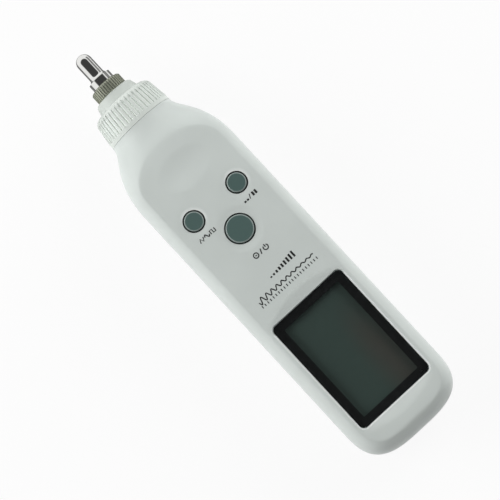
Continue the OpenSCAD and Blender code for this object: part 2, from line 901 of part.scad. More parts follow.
module battery_left() {
    color([0.25, 0.30, 0.36]) cell(-cell_x, bay_s1 + plate_t, true);
}

module battery_right() {
    color([0.25, 0.30, 0.36]) cell(cell_x, bay_s2 - plate_t - cell_len, false);
}

// A contact spring as one wire, from a plate at one station towards a cell at another
module contact_spring(x, s1, s2) {
    sides = 6;
    turn_steps = 12;
    wire_r = spring_wire / 2;
    coil_share = 0.62;
    coil_r = cell_r * coil_share;
    n = spring_turns * turn_steps;
    way = sign(s2 - s1);
    rings = [for (i = [0 : n], k = [0 : sides - 1])
        let (a = 360 * i / turn_steps, c = 360 * k / sides, rr = coil_r * (1 - i / n / 3) + wire_r * cos(c))
        [rr * cos(a), -(s1 + (s2 - s1) * i / n + wire_r * way) + wire_r * sin(c), rr * sin(a)]];
    walls = [for (i = [0 : n - 1], k = [0 : sides - 1], half = [0, 1])
        let (a = i * sides + k, b = i * sides + (k + 1) % sides)
        half == 0 ? [b, a, a + sides] : [b + sides, b, a + sides]];
    start = [[for (k = [0 : sides - 1]) k]];
    end = [[for (k = [sides - 1 : -1 : 0]) n * sides + k]];
    translate([x, tip_y, cell_z]) polyhedron(rings, concat(walls, start, end));
}

// A contact plate between two stations
module plate(x, w, s1) {
    translate([x, 0, 0]) slab(w, s1, s1 + plate_t, cell_z - plate_w / 2, cell_z + plate_w / 2);
}

module front_contacts() {
    color(steel_grey) {
        for (x = [-1, 1]) plate(x * cell_x, plate_w, bay_s1);
        contact_spring(cell_x, bay_s1 + plate_t, bay_s2 - plate_t - cell_len - spring_wire - fit);
    }
}

module bridge_contact() {
    color(steel_grey) {
        plate(0, plate_w + 2 * cell_x, bay_s2 - plate_t);
        contact_spring(-cell_x, bay_s2 - plate_t, bay_s1 + plate_t + cell_len + spring_wire + fit);
    }
}

module case_screws() {
    color(steel_grey) for (p = case_screw_places) {
        post(p[0], p[1], case_screw_head_r, seat_z - case_screw_head_h, seat_z);
        post(p[0], p[1], case_screw_r, seat_z, seat_z + case_screw_len);
    }
}

module board_screws() {
    color(steel_grey) for (x = [-1, 1]) {
        post(x * screw_x, board_screw_s, board_screw_head_r, board_z - board_screw_head_h, board_z);
        post(x * screw_x, board_screw_s, board_screw_r, board_z, board_z + board_screw_len);
    }
}

front_shell();
rear_shell();
battery_door();
display_window();
window_gasket();
lcd_panel();
lcd_holder();
zebra_strips();
main_board();
controller_chip();
amplifier_chip();
capacitors();
sensor_socket();
sensor_lead();
measure_button();
mode_button();
range_button();
measure_switch();
mode_switch();
range_switch();
probe_rod();
knurled_ring();
nose_cone();
ribbed_collar();
collar_washer();
sensor_base();
piezo_disc();
contact_disc();
seismic_mass();
preload_bolt();
sensor_can();
isolator_rings();
battery_left();
battery_right();
front_contacts();
bridge_contact();
case_screws();
board_screws();
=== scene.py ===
"""Looks of a handheld vibration meter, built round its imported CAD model.

Lengths are in metres, in the CAD frame: X across, Y towards the probe's tip, Z out of the front face.
A station is a distance from the probe's tip, measured towards the tail.
"""

import json
import math

import bmesh
import bpy
import numpy as np
from bpy.props import FloatProperty, FloatVectorProperty, IntProperty, PointerProperty
from mathutils import Matrix, Vector


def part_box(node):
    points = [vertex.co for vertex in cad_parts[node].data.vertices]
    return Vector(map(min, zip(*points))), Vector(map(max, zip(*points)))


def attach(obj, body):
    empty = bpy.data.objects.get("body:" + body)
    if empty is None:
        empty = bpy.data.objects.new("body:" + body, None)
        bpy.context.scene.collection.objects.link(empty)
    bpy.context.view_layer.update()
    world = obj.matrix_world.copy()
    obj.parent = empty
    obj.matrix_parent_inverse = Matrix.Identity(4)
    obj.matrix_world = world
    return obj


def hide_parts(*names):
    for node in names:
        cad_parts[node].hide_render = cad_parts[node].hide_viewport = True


bl_info = {
    "name": "Vibration meter looks",
    "version": (1, 0, 0),
    "blender": (4, 5, 0),
    "location": "View3D > Sidebar > Meter",
    "description": "Builds the finish, the smooth case and the studio of a handheld vibration meter",
    "category": "Object",
}

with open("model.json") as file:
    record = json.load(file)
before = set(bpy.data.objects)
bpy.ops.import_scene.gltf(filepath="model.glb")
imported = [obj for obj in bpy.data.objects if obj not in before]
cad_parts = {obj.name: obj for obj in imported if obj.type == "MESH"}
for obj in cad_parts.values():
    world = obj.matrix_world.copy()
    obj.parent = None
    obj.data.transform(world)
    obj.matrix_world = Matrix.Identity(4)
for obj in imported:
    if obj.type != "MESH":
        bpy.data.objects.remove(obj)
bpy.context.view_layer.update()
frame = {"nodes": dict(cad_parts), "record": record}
NODES = frame["nodes"]
MM = 0.001


# Clearances, and how far cuts and joins run over

CLEAR = 0.3 * MM
SLIP = 0.1 * MM
FIT = 0.05 * MM
OVER = 1 * MM


# Sizes shared with the CAD model, read from its nodes


def node_low(name):
    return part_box(name)[0]


def node_high(name):
    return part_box(name)[1]


TIP_Y = node_high("probe_rod").y
TOTAL_LEN = TIP_Y - node_low("front_shell").y
CASE_W = node_high("front_shell").x - node_low("front_shell").x
CASE_H = node_high("front_shell").z
AXIS_Z = (node_high("ribbed_collar").z + node_low("ribbed_collar").z) / 2
COLLAR_R = node_high("ribbed_collar").x
CASE_S = TIP_Y - node_low("ribbed_collar").y + SLIP
WINDOW_LOW = node_low("display_window")
WINDOW_HIGH = node_high("display_window")
WINDOW_W = WINDOW_HIGH.x - WINDOW_LOW.x
WINDOW_LEN = WINDOW_HIGH.y - WINDOW_LOW.y
WINDOW_S = TIP_Y - (WINDOW_HIGH.y + WINDOW_LOW.y) / 2
LEDGE_Z = node_low("window_gasket").z
FLANGE_S = TIP_Y - node_low("nose_cone").y
BAY_ROOF = node_high("battery_left").z + CLEAR
DOOR_T = node_high("battery_door").z


# Sizes that the nodes' boxes don't give

COLLAR_FRONT_R = 12.8 * MM
COLLAR_RIM = 1.6 * MM
COLLAR_ROUND = 2.8 * MM
NECK_R = 11.1 * MM
NECK_REACH = 4.4 * MM
BORE_R = 9.2 * MM
BORE_REACH = 5.4 * MM
GROOVE_INSET = 1 * MM
GROOVE_H = 1.3 * MM
WINDOW_CORNER = 2.2 * MM
VIEW_W = 27.1 * MM
VIEW_LEN = 42.9 * MM
VIEW_CORNER = 1.1 * MM
VIEW_CUT = 3 * MM
FRAME_MARGIN = 3.4 * MM
LEDGE_T = 1.6 * MM
LIP_STEPS = ((1.35 * MM, 0), (1.05 * MM, 0.6), (0.3 * MM, 0.75), (0, 1.4), (-OVER, 1.4))
SMALL_BUTTONS = ("mode_button", "range_button")
BUTTONS = ("measure_button", *SMALL_BUTTONS)
BUTTON_FLANGE = 0.8 * MM
BUTTON_GAP = 0.4 * MM
DIMPLE_S = 57.4 * MM
DIMPLE_W = 11.2 * MM
DIMPLE_LEN = 7.2 * MM
BIG_DISH_R = 8.4 * MM
SMALL_DISH_R = 5.6 * MM
SCOOP_R = 150 * MM
SCREW_X = 14.4 * MM
SCREW_HEAD_R = 2.1 * MM
SCREW_HOLE_R = 2.4 * MM
SCREW_SEAT = 8 * MM
PILOT_R = 1.15 * MM
BOSS_R = 2.7 * MM
TOWER_R = 3.3 * MM
BAY_WALL = 1.3 * MM
RAIL_W = 1 * MM
RAIL_TOP = 1.6 * MM


def middle(name):
    """The middle of a node's box."""
    low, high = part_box(name)
    return (low + high) / 2


def button_radius(name):
    """Radius of the round top of a button, without its flange."""
    return (node_high(name).x - node_low(name).x) / 2 - BUTTON_FLANGE


def station(name):
    """How far a node's middle is from the tip."""
    return TIP_Y - middle(name).y


# Settings that the scene keeps


def number_setting(name, description, default, **kind):
    return FloatProperty(name=name, description=description, default=default, **kind)


def length_setting(name, description, default):
    return number_setting(name, description, default, unit="LENGTH")


def angle_setting(name, description, degrees):
    return number_setting(name, description, math.radians(degrees), subtype="ANGLE")


def colour_setting(name, description, default):
    return FloatVectorProperty(name=name, description=description, default=default, subtype="COLOR")


class CaseSizes(bpy.types.PropertyGroup):
    """Sizes of the moulded case"""

    wall: length_setting("Wall", "Wall of the shells", 2.2 * MM)
    shoulder_len: length_setting("Shoulder", "Length over which the shoulders widen", 26.2 * MM)
    tail_round: length_setting("Tail rounding", "Length over which the tail rounds off", 18 * MM)
    face_edge: length_setting("Face edge", "Width of the slope beside the flat face", 4.15 * MM)
    back_edge: length_setting("Back edge", "Width of the slope beside the flat back", 4.65 * MM)
    edge_round: length_setting("Edge rounding", "Softness of the flat face's edge", 0.4 * MM)
    seam: length_setting("Seam", "Depth of the groove where the shells meet", 0.25 * MM)
    lip: length_setting("Lip", "Chamfer round the window and the button holes", 0.3 * MM)
    rings: IntProperty(name="Rings", description="Rings along the straight body", default=150)
    dimple_depth: length_setting("Dimple depth", "Depth of the thumb dimple", 0.6 * MM)
    button_dish: length_setting("Button dish", "Depth of the dish round the large button", 0.6 * MM)
    scoop_depth: length_setting("Scoop depth", "Depth of the slopes at the window's ends", 1 * MM)
    scoop_len: length_setting("Scoop length", "Length of the slopes at the window's ends", 4.4 * MM)


class FinishColours(bpy.types.PropertyGroup):
    """Colours of the finishes"""

    case: colour_setting("Case", "Pale plastic of the case", (0.61, 0.655, 0.63))
    collar: colour_setting("Collar", "White plastic of the collar and the nose", (0.66, 0.705, 0.665))
    button: colour_setting("Button", "Green-grey plastic of the buttons", (0.072, 0.122, 0.112))
    chrome: colour_setting("Chrome", "Polished plate of the probe", (0.80, 0.80, 0.78))
    nickel: colour_setting("Nickel", "Satin plate of the knurled ring", (0.55, 0.575, 0.47))
    display: colour_setting("Display", "Display with nothing lit", (0.058, 0.083, 0.072))
    print_ink: colour_setting("Ink", "Black print on the face", (0.012, 0.012, 0.012))


class StudioSettings(bpy.types.PropertyGroup):
    """Camera and lights"""

    camera_distance: length_setting("Distance", "Camera distance", 0.951)
    lens: number_setting("Lens", "Focal length in millimetres", 190.58)
    roll: angle_setting("Roll", "Turn of the picture", -42.662)
    lean_side: angle_setting("Side lean", "Lean across the picture", 0.802)
    lean_down: angle_setting("Down lean", "Lean down the picture", 3.663)
    key_power: number_setting("Key light", "Power of the key light in watts", 9.0)
    fill_power: number_setting("Fill light", "Power of the fill light in watts", 7.5)
    under_power: number_setting("Under light", "Power of the light below the floor in watts", 5.0)
    world_level: number_setting("World", "Strength of the even light", 0.3)
    flag_radius: length_setting("Flag", "Radius of the dark card that metal and glass reflect", 0.95)


# Shader maths


class Sock:
    """A node's socket, which adds Math nodes when it is used in an expression."""

    def __init__(self, tree, socket):
        self.tree = tree
        self.socket = socket

    def _math(self, operation, *values):
        return shade(self.tree, "ShaderNodeMath", {"operation": operation}, dict(enumerate(values)))

    def __add__(self, other):
        return self._math("ADD", self, other)

    __radd__ = __add__

    def __sub__(self, other):
        return self._math("SUBTRACT", self, other)

    def __rsub__(self, other):
        return self._math("SUBTRACT", other, self)

    def __mul__(self, other):
        return self._math("MULTIPLY", self, other)

    __rmul__ = __mul__

    def root(self):
        return self._math("SQRT", self)

    def sine(self):
        return self._math("SINE", self)

    def size(self):
        return self._math("ABSOLUTE", self)

    def positive(self):
        return self._math("MAXIMUM", self, 0.0)

    def over(self, edge):
        return self._math("GREATER_THAN", self, edge)

    def under(self, edge):
        return self._math("LESS_THAN", self, edge)

    def ramp(self, low, high, to_low=0.0, to_high=1.0):
        """Maps low..high to 0..1 smoothly and holds it there."""
        return shade(
            self.tree,
            "ShaderNodeMapRange",
            {"interpolation_type": "SMOOTHSTEP", "clamp": True},
            {"Value": self, "From Min": low, "From Max": high, "To Min": to_low, "To Max": to_high},
        )


def feed(tree, node, inputs):
    """Sets or links the sockets of a node."""
    for key, value in inputs.items():
        if isinstance(value, Sock):
            tree.links.new(value.socket, node.inputs[key])
        else:
            node.inputs[key].default_value = value


def shade(tree, kind, settings=None, inputs=None, output=0):
    """Adds a node: its settings first, then the values or links of its sockets."""
    node = tree.nodes.new(kind)
    for key, value in (settings or {}).items():
        setattr(node, key, value)
    feed(tree, node, inputs or {})
    return Sock(tree, node.outputs[output])


def rgba(colour, factor=1.0):
    """A colour as a socket takes it, darker or paler by a factor."""
    return (*(min(1.0, c * factor) for c in colour), 1.0)


def mix_colour(tree, factor, a, b):
    """Blends two colours, each a tuple or a link, by a factor."""
    return shade(tree, "ShaderNodeMix", {"data_type": "RGBA"}, {0: factor, 6: a, 7: b}, output=2)


def fresh_tree(owner):
    """The empty node tree of a material or a world."""
    owner.use_nodes = True
    owner.node_tree.nodes.clear()
    return owner.node_tree


def put_out(tree, shader, kind="ShaderNodeOutputMaterial"):
    """Links a shader to a new output node."""
    tree.links.new(shader.socket, tree.nodes.new(kind).inputs[0])


def distance(a, b):
    """How far a point is, from its offsets along two axes."""
    return (a * a + b * b).root()


class Finish:
    """A material that is built up step by step."""

    def __init__(self, name):
        self.material = bpy.data.materials.new(f"{name}_finish")
        self.tree = fresh_tree(self.material)
        self.out = self.tree.nodes.new("ShaderNodeOutputMaterial")
        self.bsdf = self.tree.nodes.new("ShaderNodeBsdfPrincipled")
        self.tree.links.new(self.bsdf.outputs[0], self.out.inputs[0])
        self.place = shade(self.tree, "ShaderNodeTexCoord", output=3)

    def set(self, **inputs):
        """Sets or links inputs of the main shader, named with _ for each space."""
        feed(self.tree, self.bsdf, {key.replace("_", " "): value for key, value in inputs.items()})

    def axes(self):
        """The three coordinates of the point, in metres."""
        return [shade(self.tree, "ShaderNodeSeparateXYZ", None, {0: self.place}, i) for i in range(3)]

    def noise(self, scale, detail=2.0, rough=0.5, stretch=None):
        place = self.place
        if stretch:
            place = shade(self.tree, "ShaderNodeMapping", None, {"Vector": self.place, "Scale": stretch})
        inputs = {"Vector": place, "Scale": scale, "Detail": detail, "Roughness": rough}
        return shade(self.tree, "ShaderNodeTexNoise", None, inputs)

    def cells(self, scale):
        return shade(self.tree, "ShaderNodeTexVoronoi", None, {"Vector": self.place, "Scale": scale})

    def bump(self, height, strength, depth):
        inputs = {"Height": height, "Strength": strength, "Distance": depth}
        self.set(Normal=shade(self.tree, "ShaderNodeBump", None, inputs))

    def mix(self, factor, a, b):
        return mix_colour(self.tree, factor, a, b)

    def axis_radius(self):
        """Distance from the probe's axis."""
        x, _, z = self.axes()
        return distance(x, z - AXIS_Z)

    def from_button(self, name):
        """Distance from the middle of a button, seen from above."""
        x, y, _ = self.axes()
        at = middle(name)
        return distance(x - at.x, y - at.y)


def moulded(name, colour, roughness=0.46, grain=0.05, coat=0.08):
    """Moulded plastic: a faint uneven tone, a fine grain and a soft shine."""
    finish = Finish(name)
    tone = finish.noise(45, 3).ramp(0.3, 0.7)
    finish.plain = finish.mix(tone, rgba(colour, 0.975), rgba(colour, 1.02))
    fine = finish.noise(5200, 2)
    wide = finish.noise(260, 3, 0.6)
    finish.set(
        Base_Color=finish.plain,
        Roughness=wide.ramp(0.25, 0.75, roughness - 0.05, roughness + 0.07),
        Coat_Weight=coat,
        Coat_Roughness=0.22,
    )
    finish.bump(fine + wide * 0.6, grain, 0.05 * MM)
    return finish


# Plain finishes: colour, roughness and, where they aren't the usual ones, grain and coat

PLASTICS = {
    "holder_plastic": ((0.8, 0.81, 0.78), 0.45),
    "chip_resin": ((0.02, 0.02, 0.022), 0.5, 0.2, 0),
    "socket_plastic": ((0.83, 0.79, 0.68), 0.4),
    "lead_sheath": ((0.03, 0.03, 0.034), 0.45),
    "piezo_ceramic": ((0.71, 0.6, 0.34), 0.5),
    "washer_nylon": ((0.86, 0.86, 0.78), 0.4),
    "rubber_black": ((0.025, 0.025, 0.025), 0.6, 0.2, 0),
}
METALS = {
    "can_metal": ((0.62, 0.63, 0.65), 0.35),
    "sensor_steel": ((0.56, 0.57, 0.58), 0.28),
    "brass": ((0.72, 0.53, 0.2), 0.25),
    "spring_steel": ((0.6, 0.61, 0.62), 0.22),
    "screw_steel": ((0.5, 0.51, 0.52), 0.32),
}


def make_materials(colours):
    """Every finish, by the name of the material slot in the record."""
    made = {
        "case_plastic": case_finish(colours.case),
        "collar_plastic": collar_finish(colours.collar),
        "button_plastic": button_finish(colours.button),
        "window_clear": window_finish(),
        "gasket_black": gasket_finish(),
        "lcd_dark": display_finish(colours.display),
        "zebra_rubber": zebra_finish(),
        "board_resin": board_finish(),
        "probe_chrome": chrome_finish(colours.chrome),
        "ring_nickel": nickel_finish(colours.nickel),
        "cell_jacket": cell_finish(),
        "print_ink": ink_finish(colours.print_ink),
    }
    made |= {name: moulded(name, *values).material for name, values in PLASTICS.items()}
    return made | {name: metal_finish(name, *values) for name, values in METALS.items()}


def case_finish(colour):
    """Case plastic, with painted shade in the gaps round the buttons and a painted highlight round the small
    buttons and along the window's lip.
    """
    finish = moulded("case_plastic", colour)
    x, y, z = finish.axes()
    # Painted shade: on the front half the gaps round the buttons are darkened.
    gap_shade, painted_glint = 0, 0
    for name in BUTTONS:
        hole = button_radius(name) + BUTTON_GAP
        away = finish.from_button(name)
        gap_shade = away.under(hole + 0.17 * MM) + gap_shade
        # Painted highlight: round the small buttons the case is paler on their lit side.
        if name in SMALL_BUTTONS:
            at = middle(name)
            lit_side = ((x - at.x) + (y - at.y)).ramp(-2 * MM, 4 * MM)
            painted_glint = away.ramp(hole + 0.5 * MM, hole + 1.6 * MM, 1, 0) * lit_side + painted_glint
    past_x = (x.size() - (WINDOW_W / 2 - WINDOW_CORNER)).positive()
    past_y = ((y - (TIP_Y - WINDOW_S)).size() - (WINDOW_LEN / 2 - WINDOW_CORNER)).positive()
    outside = distance(past_x, past_y) - WINDOW_CORNER
    front = z.over(AXIS_Z)
    # Painted highlight along the window's lip, left off its top edge, which lies in the scoop's shade.
    lip = outside.over(0.05 * MM) * outside.ramp(0.35 * MM, 0.75 * MM, 1, 0) * front
    lip = lip * y.under(WINDOW_HIGH.y - WINDOW_CORNER)
    pale_with_painted_light = finish.mix(painted_glint * 0.45, finish.plain, rgba((0.9, 0.93, 0.91)))
    pale_with_painted_light = finish.mix(lip * 0.8, pale_with_painted_light, rgba((0.93, 0.95, 0.94)))
    finish.set(Base_Color=finish.mix(gap_shade * front * 0.93, pale_with_painted_light, rgba((0.02, 0.022, 0.02))))
    return finish.material


def collar_finish(colour):
    """Milky plastic with painted light in the grooves between the ribs, so that they stay about as pale as
    the crests. The nose is darker.
    """
    finish = moulded("collar_plastic", colour, 0.44)
    _, y, _ = finish.axes()
    front, back = node_high("ribbed_collar").y, node_low("ribbed_collar").y
    first, last = back + COLLAR_RIM, front - COLLAR_ROUND
    crest = COLLAR_R - (y - first) * ((COLLAR_R - COLLAR_FRONT_R) / (last - first))
    depth = crest - finish.axis_radius()
    # Painted light: the grooves are made paler to lift the shade that falls in them.
    groove_light = depth.ramp(0.1 * MM, 0.36 * MM) * y.over(first) * y.under(last)
    pale_with_painted_light = finish.mix(groove_light, finish.plain, rgba(colour, 1.28))
    nose = y.over(front)
    finish.set(Base_Color=finish.mix(nose, pale_with_painted_light, rgba(colour, 0.86)))
    return finish.material


def button_finish(colour):
    """Satin button plastic with a finely grained top and a painted highlight along its edge."""
    finish = Finish("button_plastic")
    _, _, z = finish.axes()
    # rim: a painted highlight round the edge of each button's top.
    rim = 0
    for name in BUTTONS:
        radius, away = button_radius(name), finish.from_button(name)
        rim = away.ramp(radius - 0.5 * MM, radius - 0.25 * MM) * away.under(radius + 0.3 * MM) + rim
    rim = rim * z.ramp(CASE_H - 0.5 * MM, CASE_H)
    grain = finish.noise(4200, 2)
    finish.set(
        Base_Color=finish.mix(rim * 0.6, rgba(colour), rgba((0.40, 0.45, 0.43))),
        Roughness=grain.ramp(0.3, 0.7, 0.42, 0.56),
        Coat_Weight=0.1,
        Coat_Roughness=0.3,
    )
    finish.bump(grain, 0.12, 0.05 * MM)
    return finish.material


def chrome_finish(colour):
    """Polished plate with fine turning marks and a faint smudge."""
    finish = Finish("probe_chrome")
    _, y, _ = finish.axes()
    turning = (y * 9000).sine()
    smudge = finish.noise(600, 4, 0.6).ramp(0.45, 0.8)
    finish.set(
        Base_Color=finish.mix(smudge, rgba(colour), rgba(colour, 0.93)),
        Metallic=1.0,
        Roughness=smudge * 0.06 + 0.05,
    )
    finish.bump(turning + finish.noise(2500, 2) * 2, 0.04, 0.01 * MM)
    return finish.material


def nickel_finish(colour):
    """Satin plate, darker in the grooves between the knurls."""
    finish = Finish("ring_nickel")
    outer = (node_high("knurled_ring").x - node_low("knurled_ring").x) / 2
    crest = finish.axis_radius().ramp(outer - 0.3 * MM, outer - 0.03 * MM)
    speck = finish.noise(3000, 3, 0.6)
    finish.set(
        Base_Color=finish.mix(crest, rgba(colour, 0.72), rgba(colour, 1.05)),
        Metallic=0.8,
        Roughness=speck.ramp(0.3, 0.7, 0.42, 0.56),
    )
    finish.bump(speck, 0.15, 0.03 * MM)
    return finish.material


def metal_finish(name, colour, roughness):
    """Bare metal, a little cloudy, with faint lines across."""
    finish = Finish(name)
    cloud = finish.noise(900, 3)
    lines = finish.noise(400, 2, 0.5, (1, 12, 1))
    finish.set(
        Base_Color=finish.mix(cloud.ramp(0.3, 0.7), rgba(colour, 0.93), rgba(colour, 1.05)),
        Metallic=1.0,
        Roughness=cloud.ramp(0.3, 0.7, roughness - 0.05, roughness + 0.08),
    )
    finish.bump(lines, 0.1, 0.02 * MM)
    return finish.material


def window_finish():
    """Clear acrylic: what is behind it shows, with the window's own reflection on top."""
    finish = Finish("window_clear")
    tree = finish.tree
    finish.set(
        Base_Color=rgba((0.9, 0.92, 0.92)),
        Metallic=1.0,
        Roughness=finish.noise(500, 3).ramp(0.4, 0.8, 0.02, 0.06),
    )
    clear = shade(tree, "ShaderNodeBsdfTransparent", None, {"Color": rgba((0.93, 0.95, 0.95))})
    fresnel = shade(tree, "ShaderNodeFresnel", None, {"IOR": 1.49})
    outside = 1 - shade(tree, "ShaderNodeNewGeometry", output="Backfacing")
    shine = Sock(tree, finish.bsdf.outputs[0])
    both = shade(tree, "ShaderNodeMixShader", None, {0: fresnel * outside, 1: clear, 2: shine})
    tree.links.new(both.socket, finish.out.inputs[0])
    return finish.material


def gasket_finish():
    """Black adhesive film."""
    finish = Finish("gasket_black")
    speck = finish.noise(2500, 2)
    finish.set(
        Base_Color=finish.mix(speck, rgba((0.0045, 0.0045, 0.005)), rgba((0.007, 0.007, 0.0075))),
        Roughness=0.5,
    )
    finish.bump(speck, 0.1, 0.02 * MM)
    return finish.material


def display_finish(colour):
    """Display glass with nothing lit: an uneven green-grey film, a warm painted reflection near one side, and
    painted shade towards its left and right edges.
    """
    finish = Finish("lcd_dark")
    x, _, _ = finish.axes()
    # A warm painted reflection near one side of the display.
    warm_reflection = finish.noise(28, 1, 0.4, (1, 0.6, 1)).ramp(0.45, 0.62)
    side = x.ramp(-2 * MM, 9 * MM)
    # Painted shade towards the display's left and right edges, under the pocket's walls.
    edge = x.size().ramp(9 * MM, 13 * MM)
    film_and_reflection = finish.mix(warm_reflection * side * 0.65, rgba(colour), rgba((0.085, 0.066, 0.057)))
    finish.set(
        Base_Color=finish.mix(edge * 0.35, film_and_reflection, rgba(colour, 0.8)),
        Roughness=finish.noise(1500, 2).ramp(0.3, 0.7, 0.28, 0.38),
        Coat_Weight=0.3,
        Coat_Roughness=0.1,
    )
    finish.bump(finish.cells(2600), 0.03, 0.01 * MM)
    return finish.material


def zebra_finish():
    """Rubber in thin layers, every other one conductive."""
    finish = Finish("zebra_rubber")
    x, _, _ = finish.axes()
    pitch = 0.4 * MM
    layers = (x * (2 * math.pi / pitch)).sine().over(0)
    striped = finish.mix(layers, rgba((0.55, 0.22, 0.3)), rgba((0.02, 0.02, 0.02)))
    finish.set(Base_Color=striped, Roughness=0.55)
    return finish.material


def board_finish():
    """Green solder mask over copper traces, with a row of tinned pads."""
    finish = Finish("board_resin")
    x, y, _ = finish.axes()
    pitch = 1.27 * MM
    lanes = ((x * (2 * math.pi / pitch)).sine() + finish.noise(220, 1) * 2 - 1).over(0.35)
    rows = ((y * (2 * math.pi / pitch)).sine() + finish.noise(200, 1) * 2 - 1).over(0.75)
    copper = (lanes + rows).over(0.5)
    mask = finish.mix(copper, rgba((0.008, 0.09, 0.035)), rgba((0.02, 0.15, 0.06)))
    finish.set(Base_Color=mask, Roughness=0.32, Coat_Weight=0.4, Coat_Roughness=0.15)
    finish.bump(copper, 0.3, 0.035 * MM)
    return finish.material


def cell_finish():
    """Plain cell jacket: a dark sleeve with a copper-coloured band, bare metal at both ends."""
    finish = Finish("cell_jacket")
    _, y, _ = finish.axes()
    low, high = node_low("battery_left").y, node_high("battery_left").y
    band = y.ramp(high - 13 * MM, high - 12.8 * MM)
    metal = y.under(low + 0.9 * MM) + y.over(high - 1.6 * MM)
    sleeve = finish.mix(band, rgba((0.03, 0.045, 0.07)), rgba((0.5, 0.3, 0.13)))
    finish.set(
        Base_Color=finish.mix(metal, sleeve, rgba((0.6, 0.6, 0.6))),
        Metallic=metal * 0.4 + 0.6,
        Roughness=finish.noise(700, 2).ramp(0.3, 0.7, 0.25, 0.35),
    )
    return finish.material


def ink_finish(colour):
    """Black ink, a little uneven."""
    finish = Finish("print_ink")
    patchy = finish.noise(2400, 3).ramp(0.35, 0.65)
    finish.set(Base_Color=finish.mix(patchy, rgba(colour), rgba(colour, 1.8)), Roughness=0.5)
    return finish.material


# Meshes


def in_scene(name, data):
    """An object of the scene with the given data."""
    obj = bpy.data.objects.new(name, data)
    bpy.context.scene.collection.objects.link(obj)
    return obj


def new_object(name, verts, faces):
    """A mesh object with its place in its mesh."""
    mesh = bpy.data.meshes.new(name)
    mesh.from_pydata([tuple(v) for v in verts], [], [tuple(f) for f in faces])
    mesh.validate()
    return in_scene(name, mesh)


def outward(obj):
    """Recalculates the normals of a closed mesh so that they point out."""
    work = bmesh.new()
    work.from_mesh(obj.data)
    bmesh.ops.remove_doubles(work, verts=work.verts, dist=1e-8)
    bmesh.ops.recalc_face_normals(work, faces=work.faces)
    work.to_mesh(obj.data)
    work.free()
    return obj


def baked(obj):
    """Applies an object's modifiers to its own mesh."""
    bpy.context.view_layer.update()
    evaluated = obj.evaluated_get(bpy.context.evaluated_depsgraph_get())
    mesh = bpy.data.meshes.new_from_object(evaluated)
    obj.modifiers.clear()
    old = obj.data
    obj.data = mesh
    bpy.data.meshes.remove(old)
    return obj


def combine(body, tool, operation="DIFFERENCE"):
    """Cuts, joins or intersects two closed solids. The tool is used up."""
    modifier = body.modifiers.new("Combine", "BOOLEAN")
    modifier.operation = operation
    modifier.solver = "MANIFOLD"
    modifier.object = tool
    baked(body)
    bpy.data.objects.remove(tool)
    if not body.data.polygons:
        raise RuntimeError(f"{body.name} came out empty after {operation}")
    return body


def tube(rings, name):
    """A closed solid through rings of points, in order."""
    count = len(rings[0])
    verts = [p for ring in rings for p in ring]
    faces = []
    for i in range(len(rings) - 1):
        for k in range(count):
            nxt = (k + 1) % count
            faces.append((i * count + k, i * count + nxt, (i + 1) * count + nxt, (i + 1) * count + k))
    faces.append(tuple(range(count))[::-1])
    faces.append(tuple((len(rings) - 1) * count + k for k in range(count)))
    return outward(new_object(name, verts, faces))


def slab(width, s1, s2, z1, z2):
    """A box across the meter's middle, between two stations and two heights."""
    corners = ((-1, z1), (1, z1), (1, z2), (-1, z2))
    rings = [[(a * width / 2, TIP_Y - s, z) for a, z in corners] for s in (s1, s2)]
    return tube(rings, "slab")


def post(x, s, profile, sides=64):
    """An upright turned solid. The profile is a list of (radius, height)."""
    angles = [2 * math.pi * k / sides for k in range(sides)]
    rings = [[(x + r * math.cos(a), TIP_Y - s + r * math.sin(a), z) for a in angles] for r, z in profile]
    return tube(rings, "post")


def turned(profile):
    """A solid turned about the probe's axis. The profile is a list of (radius, station)."""
    sides = 128
    angles = [2 * math.pi * k / sides for k in range(sides)]
    rings = [[(r * math.cos(a), TIP_Y - s, AXIS_Z + r * math.sin(a)) for a in angles] for r, s in profile]
    return tube(rings, "turned")


def plate_outline(width, length, corner):
    """The outline of a plate with round corners, about its middle."""
    steps = 10
    points = []
    for cx, cy, turn in ((1, 1, 0), (-1, 1, 1), (-1, -1, 2), (1, -1, 3)):
        for k in range(steps + 1):
            a = math.pi / 2 * (turn + k / steps)
            x = cx * (width / 2 - corner) + corner * math.cos(a)
            points.append((x, cy * (length / 2 - corner) + corner * math.sin(a)))
    return points


def rounded_plate(width, length, corner, s, levels):
    """A plate with round corners. Levels are (height, widening) pairs from below."""
    rings = []
    for z, wide in levels:
        outline = plate_outline(width + 2 * wide, length + 2 * wide, corner + wide)
        rings.append([(px, TIP_Y - s + py, z) for px, py in outline])
    return tube(rings, "plate")


# The case's form


BODY_POWER = 4
NECK_POWER = 2
TAIL_POWER = 3.2
SHOULDER_PULL = (0.18, 0.33)
RISE_SHARE = 0.85
RISE_POWER = 1.6
EDGE_STEP = 0.15 * MM
EDGE_SHARES = (0.4, 1.2, 2.5)


def bezier(t, a, b):
    return 3 * (1 - t) ** 2 * t * a + 3 * (1 - t) * t**2 * b + t**3


def blend(a, b, f):
    return a + (b - a) * f


def half_height(flat_h, flat_w):
    return flat_h / (1 - (flat_w / CASE_W) ** BODY_POWER) ** (1 / BODY_POWER)


